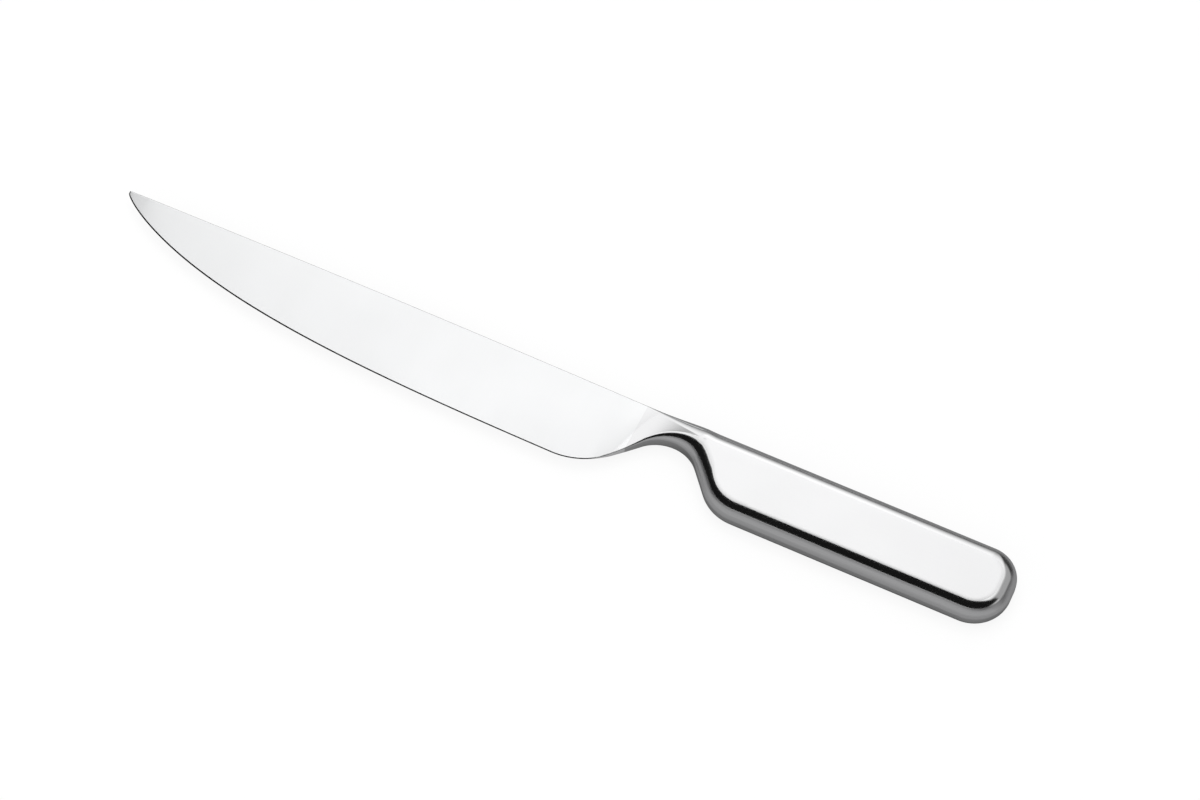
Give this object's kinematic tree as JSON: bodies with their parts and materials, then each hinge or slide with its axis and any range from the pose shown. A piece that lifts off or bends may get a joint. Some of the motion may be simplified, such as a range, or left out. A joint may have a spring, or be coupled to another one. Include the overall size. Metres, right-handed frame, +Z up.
{
  "type": "carving knife",
  "caption": "Long all-metal carving knife with a straight spine, swept edge, deep finger notch behind the heel and a smooth rounded hollow handle.",
  "frame": {"origin": "middle of the knife's length and of its depth, on the surface that it lies on", "axes": "+X from the tip to the butt, +Y from the cutting edge to the spine, +Z up through the thickness; the knife lies on its right side"},
  "size_m": [0.337, 0.0306, 0.0107],
  "materials": {
    "blade_steel": "satin ground stainless steel with a fine grain across the blade",
    "handle_steel": "smooth, softly polished stainless steel with a faint lengthwise grain on the narrow sides",
    "filler_resin": "cast resin cement, matte, hidden inside the handle"
  },
  "bodies": {
    "root": {"blade": "blade_steel", "bolster": "handle_steel", "handle_shell_left": "handle_steel", "handle_shell_right": "handle_steel", "handle_filler": "filler_resin"}
  },
  "joints": []
}
